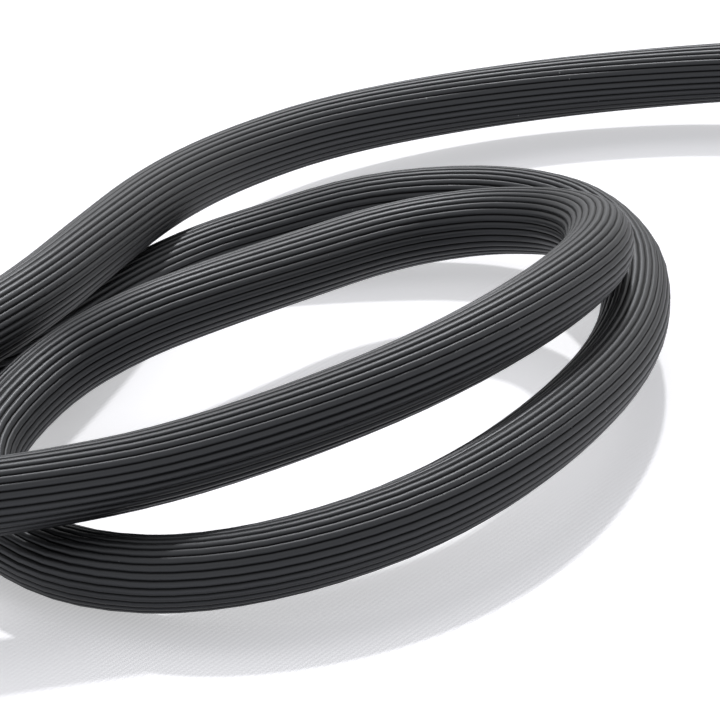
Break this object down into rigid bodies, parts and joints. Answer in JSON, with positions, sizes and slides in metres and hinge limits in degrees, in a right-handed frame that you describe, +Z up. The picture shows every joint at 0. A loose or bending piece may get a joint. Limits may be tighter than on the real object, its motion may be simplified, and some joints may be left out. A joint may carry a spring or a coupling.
{
  "type": "microphone cable",
  "caption": "Black round ribbed cable in loose loops, its spare length in a tied coil, with a latching socket connector on one end and a pin connector on the other.",
  "frame": {"origin": "bottom centre of the box around the two connectors, on the surface that the cable lies on", "axes": "+Z up; +X towards the female connector's side and along both connectors' axes; +Y away from the viewer"},
  "size_m": [0.392, 0.1214, 0.0202],
  "materials": {
    "cable_jacket": "satin, fine lengthwise ribs",
    "boot_rubber": "matte",
    "black_plastic": "satin moulded",
    "clamp_plastic": "moulded",
    "shell_metal": "satin nickel plate",
    "latch_metal": "satin nickel plate",
    "spring_steel": "drawn wire",
    "contact_metal": "plated",
    "bare_wire": "tinned copper",
    "core_red": "smooth",
    "core_white": "smooth",
    "strap_fabric": "woven, brushed"
  },
  "bodies": {
    "main": {"cable_coil": "cable_jacket", "cable_run": "cable_jacket", "cable_tail": "cable_jacket", "cable_tie": "strap_fabric", "female_boot": "boot_rubber", "female_cable_end": "cable_jacket", "female_clamp": "clamp_plastic", "female_core_cold": "core_white", "female_core_hot": "core_red", "female_drain_wire": "bare_wire", "female_insert": "black_plastic", "female_latch_spring": "spring_steel", "female_nut": "black_plastic", "female_shell": "shell_metal", "female_socket_1": "contact_metal", "female_socket_2": "contact_metal", "female_socket_3": "contact_metal", "male_boot": "boot_rubber", "male_cable_end": "cable_jacket", "male_clamp": "clamp_plastic", "male_core_cold": "core_white", "male_core_hot": "core_red", "male_drain_wire": "bare_wire", "male_insert": "black_plastic", "male_nut": "black_plastic", "male_pin_1": "contact_metal", "male_pin_2": "contact_metal", "male_pin_3": "contact_metal", "male_shell": "shell_metal"},
    "latch": {"female_latch": "latch_metal"}
  },
  "joints": [
    {"name": "latch_press", "type": "slide", "parent": "main", "child": "latch", "axis": [0, 0, -1], "range_m": [0, 0.0012], "stiffness_N_per_m": 1500, "springref_m": -0.001, "deforming": ["female_latch_spring"]}
  ]
}
